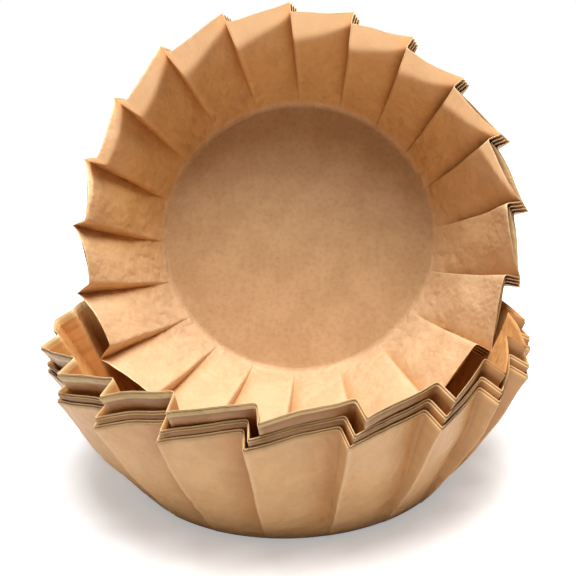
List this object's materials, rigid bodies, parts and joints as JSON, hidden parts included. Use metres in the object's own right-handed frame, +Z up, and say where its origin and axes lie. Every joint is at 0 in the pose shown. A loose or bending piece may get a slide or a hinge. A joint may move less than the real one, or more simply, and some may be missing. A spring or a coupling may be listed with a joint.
{
  "type": "stack of parchment paper rounds",
  "caption": "Nested pleated cup liners of brown parchment paper, one nest standing upright and a second nest leaning back inside its bowl.",
  "frame": {"origin": "centre of the underside of the lowest liner's flat floor", "axes": "+Z up out of the upright liners; the leaning nest leans back towards +Y, and its open side faces -Y"},
  "size_m": [0.1962, 0.1938, 0.1888],
  "materials": {
    "lowest_liner_paper": "satin greaseproof kraft paper, lightly crumpled along its folds",
    "upright_liner_paper": "satin greaseproof kraft paper, lightly crumpled along its folds",
    "leaning_liner_paper": "satin greaseproof kraft paper, lightly crumpled along its folds",
    "front_liner_paper": "satin greaseproof kraft paper with a mottled matt floor and glossier wall folds"
  },
  "bodies": {
    "root": {"upright_liner_1": "lowest_liner_paper", "upright_liner_2": "upright_liner_paper", "upright_liner_3": "upright_liner_paper", "upright_liner_4": "upright_liner_paper", "upright_liner_5": "upright_liner_paper", "upright_liner_6": "upright_liner_paper", "leaning_liner_1": "leaning_liner_paper", "leaning_liner_2": "leaning_liner_paper", "leaning_liner_3": "leaning_liner_paper", "leaning_liner_4": "front_liner_paper"}
  },
  "joints": []
}
